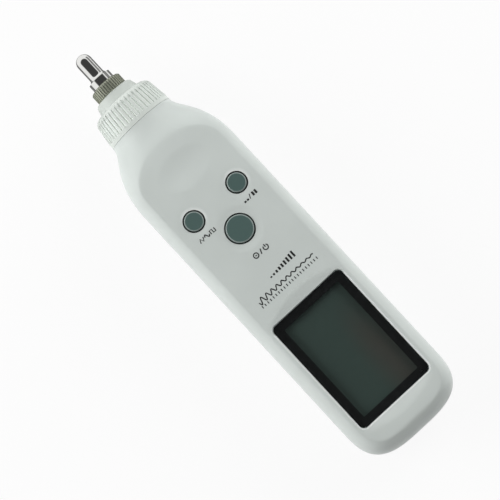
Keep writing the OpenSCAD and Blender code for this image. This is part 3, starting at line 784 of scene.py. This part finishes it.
def case_stations(sizes, inset, head_steps, tail_steps, rings):
    """Where each section is: (y, half width, height above the axis, depth below it, power)."""
    top = half_height(CASE_H - AXIS_Z, CASE_W - 2 * sizes.face_edge)
    bottom = half_height(AXIS_Z, CASE_W - 2 * sizes.back_edge)
    found = []
    for i in range(head_steps + 1):
        t = i / head_steps
        u = bezier(t, *SHOULDER_PULL)
        w = bezier(t, 0, 1)
        h = math.sin(math.pi / 2 * min(1, u / RISE_SHARE) ** RISE_POWER)
        y = TIP_Y - CASE_S - sizes.shoulder_len * u - inset * (1 - t)
        half = [blend(COLLAR_R, full, f) - inset for full, f in ((CASE_W / 2, w), (top, h), (bottom, h))]
        found.append((y, *half, blend(NECK_POWER, BODY_POWER, h)))
    y1 = TIP_Y - CASE_S - sizes.shoulder_len
    y2 = TIP_Y - TOTAL_LEN + sizes.tail_round
    for i in range(1, rings):
        y = blend(y1, y2, i / rings)
        found.append((y, CASE_W / 2 - inset, top - inset, bottom - inset, BODY_POWER))
    for i in range(tail_steps + 1):
        a = math.radians(min(89.99, 90 * i / tail_steps))
        k = math.cos(a) ** (2 / TAIL_POWER)
        u = math.sin(a) ** (2 / TAIL_POWER)
        half = [(full - inset) * k for full in (CASE_W / 2, top, bottom)]
        found.append((y2 - (sizes.tail_round - inset) * u, *half, BODY_POWER))
    return found


def side_points(half_w, height, power, x_split, seam, count):
    """Points up the side of a half section, from the parting plane to the edge of the flat."""
    dense = 400
    last = math.acos(min(1, (x_split / half_w) ** (power / 2)))
    angles = np.linspace(0, last, dense)
    x = half_w * np.cos(angles) ** (2 / power)
    z = height * np.sin(angles) ** (2 / power)
    along = np.concatenate([[0], np.cumsum(np.hypot(np.diff(x), np.diff(z)))])
    stops = np.linspace(min(seam, along[-1] * 0.05), along[-1] - 4 * EDGE_STEP, count)
    stops = np.concatenate([[0], stops, along[-1] - EDGE_STEP * np.array(EDGE_SHARES[::-1])])
    stops = np.clip(stops, 0, along[-1])
    px, pz = np.interp(stops, along, x), np.interp(stops, along, z)
    px[0] -= seam
    return px, pz


def half_section(station_values, upper, level, carve, soft, seam, across, up):
    """The points of half a section, from the right side over the flat to the left side."""
    y, half_w, top, bottom, power = station_values
    height = top if upper else bottom
    if height > level:
        x_edge = half_w * (1 - (level / height) ** power) ** (1 / power)
    else:
        x_edge = 0
    x_split = max(x_edge, 0.35 * half_w)
    sx, sz = side_points(half_w, height, power, x_split, seam, up)
    close = x_split - EDGE_STEP * np.array(EDGE_SHARES)
    fx = np.concatenate([[x_split], close, np.linspace(x_split - 4 * EDGE_STEP, 0, across // 2)])
    fx = np.clip(fx, 0, None)
    fz = height * (1 - np.clip(fx / half_w, 0, 1) ** power) ** (1 / power)
    x, z = np.concatenate([sx, fx[:-1]]), np.concatenate([sz, fz[:-1]])
    x, z = np.concatenate([x, [0], -x[::-1]]), np.concatenate([z, [fz[-1]], z[::-1]])
    limit = level - (carve(x, TIP_Y - y) if carve else 0)
    if soft > 0:
        gap = z - limit
        flat = limit + (gap - np.sqrt(gap * gap + soft * soft)) / 2
        z = np.where(gap > -6 * soft, flat, z)
    else:
        z = np.minimum(z, limit)
    z = np.maximum(z, 0)
    sign = 1 if upper else -1
    return [(a, y, AXIS_Z + sign * b) for a, b in zip(x, z)]


def half_case(
    sizes, upper, inset=0.0, level=None, carve=None, soft=0.0, seam=0.0, fine=True, skirt=0.0, name="half"
):
    """One half of the case as a solid that ends at the parting plane, or below it by the skirt."""
    if level is None:
        level = (CASE_H - AXIS_Z) if upper else AXIS_Z
    steps, points = ((64, 26, sizes.rings), (60, 22)) if fine else ((28, 14, 12), (16, 10))
    rings = []
    for values in case_stations(sizes, inset, *steps):
        ring = half_section(values, upper, level, carve, soft, seam, *points)
        if skirt:
            drop = skirt if upper else -skirt
            first, last = ring[0], ring[-1]
            ring = [(first[0], first[1], AXIS_Z - drop)] + ring + [(last[0], last[1], AXIS_Z - drop)]
        rings.append(ring)
    return tube(rings, name)


def face_carving(sizes):
    """How deep the face is cut at a place: the thumb dimple, the button dishes and the window's scoops."""
    dishes = [(0.0, DIMPLE_S, DIMPLE_W, DIMPLE_LEN, sizes.dimple_depth, 1.5)]
    dishes.append((0.0, station("measure_button"), BIG_DISH_R, BIG_DISH_R, sizes.button_dish, 1.0))
    for name in SMALL_BUTTONS:
        dishes.append((middle(name).x, station(name), SMALL_DISH_R, SMALL_DISH_R, sizes.button_dish / 2, 1.0))

    def carve(x, s):
        depth = np.zeros_like(x)
        for at_x, at_s, a, b, deep, power in dishes:
            away = ((x - at_x) / a) ** 2 + ((s - at_s) / b) ** 2
            depth = np.maximum(depth, deep * np.clip(1 - away, 0, 1) ** power)
        out = abs(s - WINDOW_S) - WINDOW_LEN / 2
        if -OVER <= out < sizes.scoop_len:
            slope = sizes.scoop_depth * (1 - max(out, 0) / sizes.scoop_len)
            depth = np.maximum(depth, slope - x * x / (2 * SCOOP_R))
        return depth

    return carve


def shade_smooth(obj):
    """Smooth shading, weighted by area, with sharp edges where faces meet at a marked angle."""
    mesh = obj.data
    work = bmesh.new()
    work.from_mesh(mesh)
    bmesh.ops.remove_doubles(work, verts=work.verts, dist=1e-7)
    bmesh.ops.dissolve_degenerate(work, edges=work.edges, dist=1e-8)
    limit = math.radians(30)
    for face in work.faces:
        face.smooth = True
    for edge in work.edges:
        edge.smooth = not (edge.is_manifold and edge.calc_face_angle(0) > limit)
    work.to_mesh(mesh)
    work.free()
    modifier = obj.modifiers.new("Normals", "WEIGHTED_NORMAL")
    modifier.keep_sharp = True
    modifier.weight = 80
    return baked(obj)


def neck_half(upper):
    """Half of the neck that the collar is screwed on."""
    body = turned([(NECK_R, FLANGE_S), (NECK_R, CASE_S + NECK_REACH)])
    z1, z2 = (AXIS_Z, CASE_H) if upper else (0, AXIS_Z)
    return combine(body, slab(CASE_W, FLANGE_S - OVER, CASE_S + NECK_REACH + OVER, z1, z2), "INTERSECT")


def neck_bore():
    """What is cut out of the neck for the sensor."""
    return turned([(BORE_R, FLANGE_S - OVER), (BORE_R, CASE_S + BORE_REACH)])


def screw_places():
    """Where the four case screws are, as (x, station)."""
    low, high = node_low("case_screws"), node_high("case_screws")
    stations = (TIP_Y - high.y + SCREW_HEAD_R, TIP_Y - low.y - SCREW_HEAD_R)
    return [(side * SCREW_X, s) for s in stations for side in (-1, 1)]


def build_front_shell(sizes):
    """The front half: the carved face, hollow behind, with its window, button holes and screw bosses."""
    roof = CASE_H - sizes.wall
    carve = face_carving(sizes)
    shell = half_case(sizes, True, carve=carve, soft=sizes.edge_round, seam=sizes.seam, name="front_case")
    combine(shell, half_case(sizes, True, sizes.wall, roof - AXIS_Z, fine=False, skirt=OVER))
    combine(shell, half_case(sizes, True, GROOVE_INSET, GROOVE_H, fine=False, skirt=OVER))
    combine(shell, neck_half(True), "UNION")
    levels = [(LEDGE_Z - LEDGE_T, 0), (roof + FIT, 0)]
    frame_size = (WINDOW_W + FRAME_MARGIN, WINDOW_LEN + FRAME_MARGIN)
    combine(shell, rounded_plate(*frame_size, WINDOW_CORNER, WINDOW_S, levels), "UNION")
    for x, s in screw_places():
        combine(shell, post(x, s, [(BOSS_R, AXIS_Z), (BOSS_R, roof + FIT)], 32), "UNION")
    combine(shell, neck_bore())
    lip = sizes.lip
    levels = [(LEDGE_Z, 0)] + [(CASE_H - drop, lip * share) for drop, share in LIP_STEPS]
    combine(shell, rounded_plate(WINDOW_W + 2 * SLIP, WINDOW_LEN + 2 * SLIP, WINDOW_CORNER, WINDOW_S, levels))
    levels = [(LEDGE_Z - VIEW_CUT, 0), (CASE_H, 0)]
    combine(shell, rounded_plate(VIEW_W, VIEW_LEN, VIEW_CORNER, WINDOW_S, levels))
    for name in BUTTONS:
        hole_r = button_radius(name) + BUTTON_GAP
        dish = sizes.button_dish if name == "measure_button" else sizes.button_dish / 2
        rim_z = CASE_H - dish * 0.6
        profile = [(hole_r, AXIS_Z), (hole_r, rim_z - lip * 0.5), (hole_r + lip * 0.5, rim_z)]
        profile += [(hole_r + lip * 1.6, rim_z + 1.6 * lip), (hole_r + lip * 1.6, CASE_H + OVER)]
        combine(shell, post(middle(name).x, station(name), profile, 96))
    return shade_smooth(shell)


def build_rear_shell(sizes):
    """The rear half: hollow, with its screw towers, the battery bay and the rails of the door."""
    shell = half_case(sizes, False, soft=sizes.edge_round, seam=sizes.seam, name="rear_case")
    combine(shell, half_case(sizes, False, sizes.wall, AXIS_Z - sizes.wall, fine=False, skirt=OVER))
    bay_x = node_high("battery_right").x + CLEAR
    bay_s1 = TIP_Y - node_high("front_contacts").y
    bay_s2 = TIP_Y - node_low("bridge_contact").y
    door_low, door_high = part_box("battery_door")
    door_w = door_high.x - door_low.x - 2 * RAIL_W
    door_s1 = TIP_Y - door_high.y
    inner = half_case(sizes, False, sizes.wall / 2, fine=False)
    block = slab(2 * (bay_x + BAY_WALL), bay_s1 - BAY_WALL, bay_s2 + BAY_WALL, 0, BAY_ROOF + BAY_WALL)
    rails = slab(door_w + 2 * (RAIL_W + BAY_WALL), door_s1 - BAY_WALL, TOTAL_LEN, 0, DOOR_T + RAIL_TOP)
    combine(block, rails, "UNION")
    for x, s in screw_places():
        combine(block, post(x, s, [(TOWER_R, 0), (TOWER_R, AXIS_Z)], 32), "UNION")
    combine(block, inner, "INTERSECT")
    combine(shell, block, "UNION")
    combine(shell, neck_half(False), "UNION")
    combine(shell, neck_bore())
    combine(shell, slab(2 * bay_x, bay_s1, bay_s2, -OVER, BAY_ROOF))
    combine(shell, slab(door_w + 2 * SLIP, door_s1 - SLIP, TOTAL_LEN + OVER, -OVER, DOOR_T + FIT))
    groove_w = door_w + 2 * (RAIL_W + SLIP)
    combine(shell, slab(groove_w, door_s1 - SLIP, TOTAL_LEN + OVER, RAIL_W - SLIP, DOOR_T + FIT))
    chamfer = 0.3 * MM
    mouth_r = SCREW_HOLE_R + chamfer
    for x, s in screw_places():
        profile = [(mouth_r, -OVER), (mouth_r, 0), (SCREW_HOLE_R, chamfer), (SCREW_HOLE_R, SCREW_SEAT)]
        combine(shell, post(x, s, profile, 48))
        combine(shell, post(x, s, [(PILOT_R, SCREW_SEAT - OVER), (PILOT_R, AXIS_Z + OVER)], 32))
    return shade_smooth(shell)


# Printed marks

PRINT_Z = CASE_H + 0.01 * MM
SCALE_S = WINDOW_S - WINDOW_LEN / 2 - 7.8 * MM
MARK_W = 26 * MM


def ribbon(name, points, width):
    """A flat printed line through points given as (x, station)."""
    last = len(points) - 1
    verts = []
    for k, (x, s) in enumerate(points):
        before, after = points[max(k - 1, 0)], points[min(k + 1, last)]
        along = Vector((after[0] - before[0], before[1] - after[1])).normalized()
        across = Vector((-along.y, along.x)) * (width / 2)
        verts.append((x + across.x, TIP_Y - s + across.y, PRINT_Z))
        verts.append((x - across.x, TIP_Y - s - across.y, PRINT_Z))
    return new_object(name, verts, [(2 * k, 2 * k + 1, 2 * k + 3, 2 * k + 2) for k in range(last)])


def strokes(name, lines, width):
    """Several printed lines as one piece."""
    parts = [ribbon(name, points, width) for points in lines]
    work = bmesh.new()
    for part in parts:
        work.from_mesh(part.data)
    work.to_mesh(parts[0].data)
    work.free()
    for part in parts[1:]:
        bpy.data.objects.remove(part)
    return parts[0]


def arc(x, s, radius, first, last):
    """Points of an arc between two angles in degrees."""
    count = 30
    turns = [math.radians(first + (last - first) * k / count) for k in range(count + 1)]
    return [(x + radius * math.cos(a), s - radius * math.sin(a)) for a in turns]


def face_marks():
    """Three waves, a low and a high bar, a target and a switch mark, rising bars and a long fading wave."""
    line = 0.42 * MM
    mode, wide = middle("mode_button"), middle("range_button")
    s = station("mode_button") + 6.9 * MM
    tall = 0.7 * MM
    zigzag = [(mode.x + (-3.5 + 0.7 * k) * MM, s + tall * (-1) ** k) for k in range(4)]
    wave = [(mode.x + (k / 16 - 1) * MM, s - tall * math.sin(2 * math.pi * k / 32)) for k in range(33)]
    corners = ((1.6, 1), (1.6, -1), (2.6, -1), (2.6, 1), (3.6, 1), (3.6, -1))
    step = [(mode.x + a * MM, s + b * tall) for a, b in corners]
    marks = [strokes("mark_waves", [zigzag, wave, step], line)]
    foot = s + 0.75 * MM
    heights = ((-2.4, 0.7), (-1.2, 0.7), (1.6, 1.6), (2.8, 1.6))
    bars = [[(wide.x + a * MM, foot), (wide.x + a * MM, foot - b * MM)] for a, b in heights]
    slash = [(wide.x - 0.3 * MM, foot), (wide.x + 0.5 * MM, foot - 1.6 * MM)]
    marks.append(strokes("mark_range_bars", bars, 0.8 * MM))
    marks.append(ribbon("mark_range_slash", slash, line * 0.8))
    s = station("measure_button") + 11 * MM
    target = [arc(-2.3 * MM, s, 0.95 * MM, 0, 360), [(-2.6 * MM, s), (-2.0 * MM, s)]]
    slash = [(-0.4 * MM, s + 0.9 * MM), (0.4 * MM, s - 0.9 * MM)]
    switch = [arc(2.3 * MM, s, 0.95 * MM, 130, 410), [(2.3 * MM, s - 1.25 * MM), (2.3 * MM, s - 0.1 * MM)]]
    marks.append(strokes("mark_measure", [*target, slash, *switch], line))
    foot = SCALE_S - 5.6 * MM
    places = [(-3.5 + 1.4 * k) * MM for k in range(9)]
    rising = [[(x, foot), (x, foot - (0.5 + 0.25 * k) * MM)] for k, x in enumerate(places)]
    marks.append(strokes("mark_level_bars", rising, 0.75 * MM))
    s = SCALE_S - 2.0 * MM
    swings, fading, tallest = 11, 1.8, 1.3 * MM
    shake = []
    for t in np.linspace(0, 1, 241):
        swing = tallest * math.exp(-fading * t) * math.sin(2 * math.pi * swings * t)
        shake.append(((t - 0.5) * MARK_W, s + swing))
    marks.append(ribbon("mark_vibration", shake, line))
    return marks


def scale_ticks():
    """A row of ticks, one of which repeats along the face."""
    tree = bpy.data.node_groups.new("tick_row", "GeometryNodeTree")
    tree.is_modifier = True
    sockets = {}
    for name, kind, value in (
        ("Ticks", "NodeSocketInt", 21),
        ("Spacing", "NodeSocketFloat", MARK_W / 20),
        ("Tick width", "NodeSocketFloat", 0.34 * MM),
        ("Tick length", "NodeSocketFloat", 1.0 * MM),
    ):
        sockets[name] = (tree.interface.new_socket(name, in_out="INPUT", socket_type=kind), value)
    tree.interface.new_socket("Geometry", in_out="OUTPUT", socket_type="NodeSocketGeometry")

    def given(name):
        return shade(tree, "NodeGroupInput", output=name)

    offset = shade(tree, "ShaderNodeCombineXYZ", None, {"X": given("Spacing")})
    row = shade(tree, "GeometryNodeMeshLine", None, {"Count": given("Ticks"), "Offset": offset})
    size = {"Size X": given("Tick width"), "Size Y": given("Tick length"), "Vertices X": 2, "Vertices Y": 2}
    tick = shade(tree, "GeometryNodeMeshGrid", None, size)
    spread = shade(tree, "GeometryNodeInstanceOnPoints", None, {"Points": row, "Instance": tick})
    real = shade(tree, "GeometryNodeRealizeInstances", None, {0: spread})
    ink = {"Geometry": real, "Material": bpy.data.materials["print_ink_finish"]}
    put_out(tree, shade(tree, "GeometryNodeSetMaterial", None, ink), "NodeGroupOutput")
    marks = new_object("mark_scale", [], [])
    modifier = marks.modifiers.new("Ticks", "NODES")
    modifier.node_group = tree
    for socket, value in sockets.values():
        modifier[socket.identifier] = value
    baked(marks)
    marks.data.transform(Matrix.Translation((-MARK_W / 2, TIP_Y - SCALE_S, PRINT_Z)))
    return marks


# The steps


def paint(obj, material):
    """Makes a material the only one of an object."""
    obj.data.materials.clear()
    obj.data.materials.append(material)


def dress(obj, slot):
    """Gives a piece its finish and its material slot."""
    paint(obj, bpy.data.materials[f"{slot}_finish"])
    return obj


class METER_OT_finishes(bpy.types.Operator):
    """Makes every finish and puts each on its CAD nodes"""

    bl_idname = "meter.finishes"
    bl_label = "Finishes"

    def execute(self, context):
        made = make_materials(context.scene.meter_colours)
        for part in frame["record"]["subparts"]:
            paint(NODES[part["node"]], made[part["material_slot"]])
        # The washer is drawn a little under size, so that its faces don't lie in the collar's
        play = NODES["collar_washer"].modifiers.new("running_play", "DISPLACE")
        play.strength = -0.03 * MM
        play.mid_level = 0
        return {"FINISHED"}


class METER_OT_case(bpy.types.Operator):
    """Makes the two smooth shells of the case"""

    bl_idname = "meter.case"
    bl_label = "Case shells"

    def execute(self, context):
        for node, build in (("front_shell", build_front_shell), ("rear_shell", build_rear_shell)):
            shell = dress(build(context.scene.meter_case), "case_plastic")
            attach(shell, "case")
            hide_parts(node)
        return {"FINISHED"}


class METER_OT_print(bpy.types.Operator):
    """Prints plain marks on the face: what each button is for, and a scale"""

    bl_idname = "meter.print"
    bl_label = "Printed marks"

    def execute(self, context):
        for mark in (*face_marks(), scale_ticks()):
            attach(dress(mark, "case_plastic"), "case")
            paint(mark, bpy.data.materials["print_ink_finish"])
        return {"FINISHED"}


class METER_OT_studio(bpy.types.Operator):
    """Makes the floor, the lights and the camera"""

    bl_idname = "meter.studio"
    bl_label = "Studio"

    def execute(self, context):
        studio = context.scene.meter_studio
        make_floor()
        make_flags(studio)
        make_world(studio.world_level)
        make_lights(studio)
        make_camera(studio)
        bpy.context.scene.view_settings.view_transform = "Standard"
        return {"FINISHED"}


def seen_ray(tree):
    """One where a ray from the camera, a mirror or clear glass meets the surface."""
    path = tree.nodes.new("ShaderNodeLightPath")
    rays = [Sock(tree, path.outputs[k]) for k in ("Is Camera Ray", "Is Glossy Ray", "Is Transmission Ray")]
    return (rays[0] + rays[1] + rays[2]).over(0.5)


def make_floor():
    """A white floor just under the meter, clear from below so that the back can be seen."""
    reach, z = 3.0, -0.25 * MM
    corners = [(-reach, -reach, z), (reach, -reach, z), (reach, reach, z), (-reach, reach, z)]
    floor = new_object("floor", corners, [(0, 1, 2, 3)])
    material = bpy.data.materials.new("floor_white")
    tree = fresh_tree(material)
    diffuse = shade(tree, "ShaderNodeBsdfDiffuse", None, {"Color": rgba((0.9, 0.9, 0.9))})
    glow = shade(tree, "ShaderNodeEmission", None, {"Color": rgba((1, 1, 1)), "Strength": 1.0})
    both = shade(tree, "ShaderNodeMixShader", None, {0: seen_ray(tree) * 0.9, 1: diffuse, 2: glow})
    clear = shade(tree, "ShaderNodeBsdfTransparent")
    below = shade(tree, "ShaderNodeNewGeometry", output="Backfacing")
    been_below = shade(tree, "ShaderNodeLightPath", output="Transparent Depth")
    from_below = (below + been_below).over(0.5)
    put_out(tree, shade(tree, "ShaderNodeMixShader", None, {0: from_below, 1: both, 2: clear}))
    floor.data.materials.append(material)


def glow_card(name, points, level, rim=None):
    """A card that only shiny surfaces see, paler towards its rim where one is given."""
    card = new_object(name, points, [tuple(range(len(points)))])
    material = bpy.data.materials.new(name)
    tree = fresh_tree(material)
    colour = rgba((level, level, level))
    if rim:
        place = shade(tree, "ShaderNodeTexCoord", output=3)
        x, y = (shade(tree, "ShaderNodeSeparateXYZ", None, {0: place}, i) for i in range(2))
        outer = distance(x, y).ramp(rim * 0.7, rim)
        colour = mix_colour(tree, outer, colour, rgba((level, level, level), 6))
    put_out(tree, shade(tree, "ShaderNodeEmission", None, {"Color": colour, "Strength": 1.0}))
    card.data.materials.append(material)
    card.visible_camera = card.visible_diffuse = card.visible_shadow = card.visible_transmission = False


def make_flags(studio):
    """The dark card overhead, and the grey ones under and beside the probe that shade its chrome."""
    sides = 64
    angles = [-2 * math.pi * k / sides for k in range(sides)]
    reach, height = studio.flag_radius, 0.7
    glow_card("flag", [(reach * math.cos(a), reach * math.sin(a), height) for a in angles], 0.055, reach)
    half, z = 45 * MM, 0.5 * MM
    y1, y2 = node_low("knurled_ring").y, TIP_Y + 12 * MM
    glow_card("edge_card", [(-half, y1, z), (half, y1, z), (half, y2, z), (-half, y2, z)], 0.2)
    x, y1, y2, tall = 0.22, -0.02, 0.25, 0.13
    glow_card("side_card", [(x, y1, 0), (x, y1, tall), (x, y2, tall), (x, y2, 0)], 0.26)


def make_world(level):
    """White where it is seen, and an even light elsewhere."""
    world = bpy.data.worlds.new("studio")
    bpy.context.scene.world = world
    tree = fresh_tree(world)
    lit = shade(tree, "ShaderNodeBackground", None, {"Color": rgba((1, 1, 1)), "Strength": level})
    seen = shade(tree, "ShaderNodeBackground", None, {"Color": rgba((1, 1, 1)), "Strength": 1.0})
    both = shade(tree, "ShaderNodeMixShader", None, {0: seen_ray(tree), 1: lit, 2: seen})
    put_out(tree, both, "ShaderNodeOutputWorld")


def add_light(name, power, size, place):
    """A round soft lamp aimed at the meter, which no mirror shows."""
    data = bpy.data.lights.new(name, "AREA")
    data.energy = power
    data.shape = "DISK"
    data.size = size
    lamp = in_scene(name, data)
    lamp.location = place
    lamp.rotation_euler = (-Vector(place)).to_track_quat("-Z", "Y").to_euler()
    lamp.visible_glossy = False


def make_lights(studio):
    add_light("key", studio.key_power, 0.9, (-0.8, 0.5, 0.45))
    add_light("fill", studio.fill_power, 0.9, (0.9, 0.25, 0.42))
    add_light("under", studio.under_power, 1.2, (0.3, 0.2, -0.8))


def make_camera(studio):
    data = bpy.data.cameras.new("camera")
    data.sensor_width = 36
    data.lens = studio.lens
    data.clip_start = 0.01
    camera = in_scene("camera", data)
    turn = Matrix.Rotation(studio.roll, 3, "Z") @ Matrix.Rotation(studio.lean_side, 3, "Y")
    turn = turn @ Matrix.Rotation(studio.lean_down, 3, "X")
    target = Vector((-2.19, -2.71, 20.0)) * MM
    place = target + turn @ Vector((0, 0, studio.camera_distance))
    camera.matrix_world = Matrix.Translation(place) @ turn.to_4x4()
    bpy.context.scene.camera = camera


class METER_PT_panel(bpy.types.Panel):
    """Lists the steps that build the meter's looks"""

    bl_idname = "METER_PT_panel"
    bl_label = "Vibration meter"
    bl_space_type = "VIEW_3D"
    bl_region_type = "UI"
    bl_category = "Meter"

    def draw(self, context):
        for step in STEPS:
            self.layout.operator(step.bl_idname)


STEPS = (METER_OT_studio, METER_OT_finishes, METER_OT_case, METER_OT_print)
GROUPS = {"meter_case": CaseSizes, "meter_colours": FinishColours, "meter_studio": StudioSettings}


def register():
    for group in GROUPS.values():
        bpy.utils.register_class(group)
    for name, group in GROUPS.items():
        setattr(bpy.types.Scene, name, PointerProperty(type=group))
    for step in (*STEPS, METER_PT_panel):
        bpy.utils.register_class(step)


def unregister():
    for step in (*STEPS, METER_PT_panel):
        bpy.utils.unregister_class(step)
    for name, group in GROUPS.items():
        delattr(bpy.types.Scene, name)
        bpy.utils.unregister_class(group)


def main():
    register()
    for step in STEPS:
        group, name = step.bl_idname.split(".")
        getattr(getattr(bpy.ops, group), name)()


if __name__ == "__main__":
    main()
